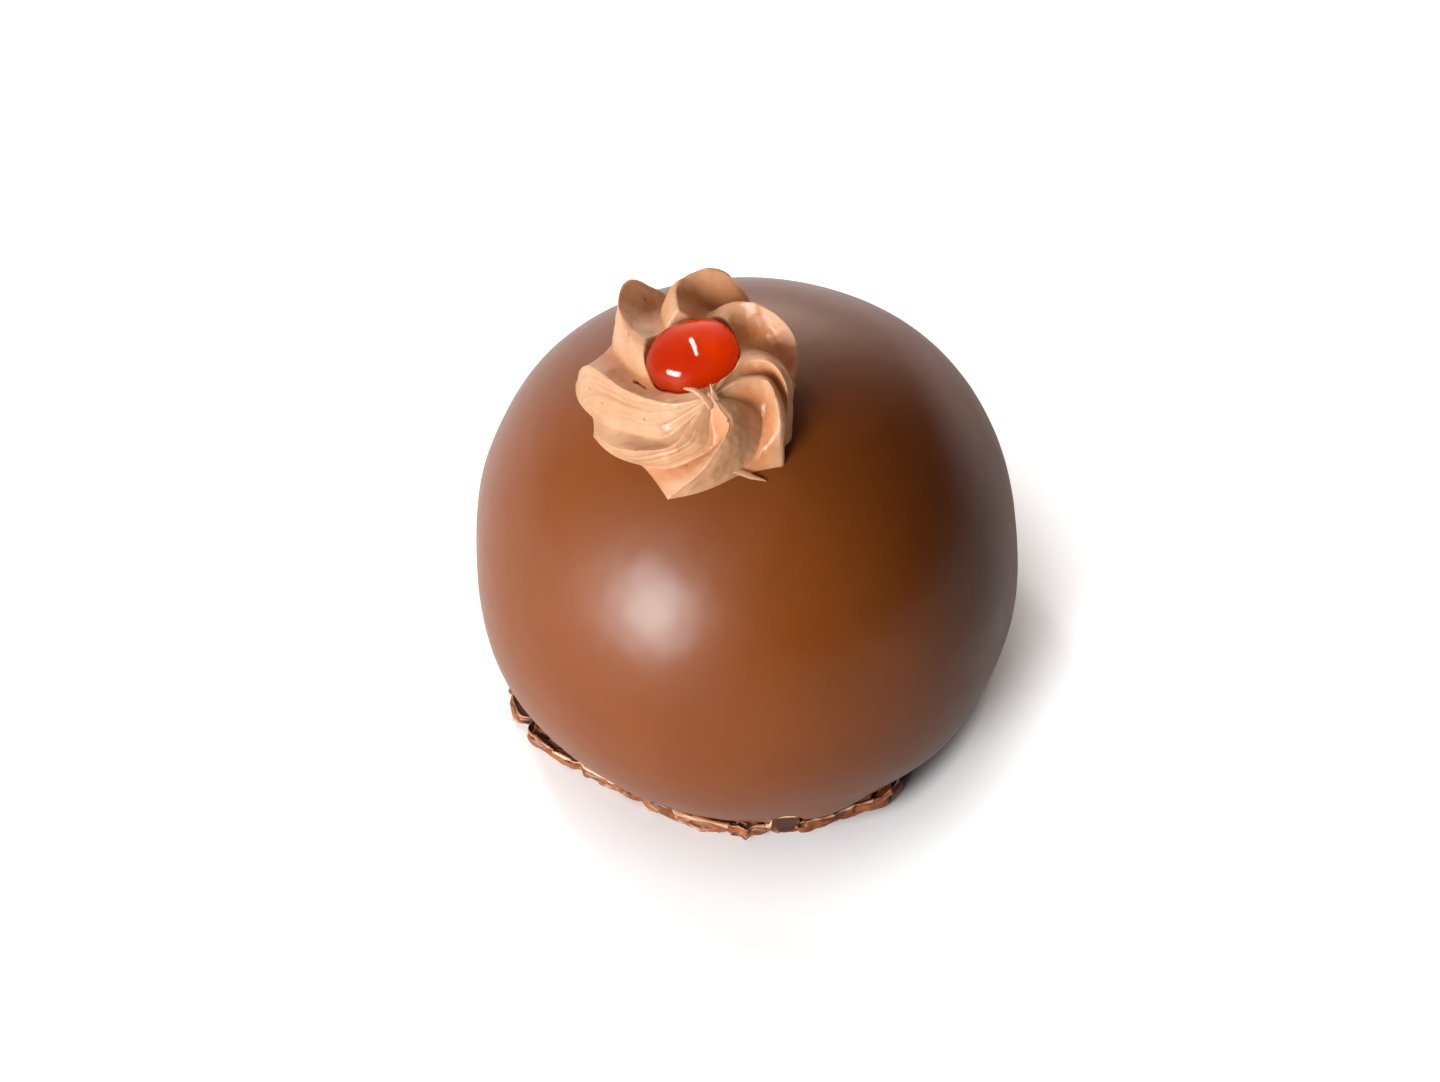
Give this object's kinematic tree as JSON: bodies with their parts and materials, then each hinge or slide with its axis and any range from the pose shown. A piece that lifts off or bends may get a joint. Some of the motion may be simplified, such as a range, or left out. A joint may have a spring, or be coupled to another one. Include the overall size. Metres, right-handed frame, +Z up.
{
  "type": "chocolate ball",
  "caption": "Glazed chocolate cake ball on a thin ragged chocolate foot, topped with a piped cream rosette and a piece of red jelly.",
  "frame": {"origin": "on the resting surface, under the middle of the ball", "axes": "+Z up; the rosette's torn peak and the side that the picture shows face -Y; the rosette leans towards -X"},
  "size_m": [0.0674, 0.0679, 0.0642],
  "materials": {
    "glaze": "satin milk chocolate glaze",
    "broken_chocolate": "broken milk chocolate with pale edges",
    "cream": "soft piped cream, slightly moist",
    "jelly": "wet, clear red jelly"
  },
  "bodies": {
    "root": {"ball": "glaze", "foot": "broken_chocolate", "rosette": "cream", "jelly": "jelly"}
  },
  "joints": []
}
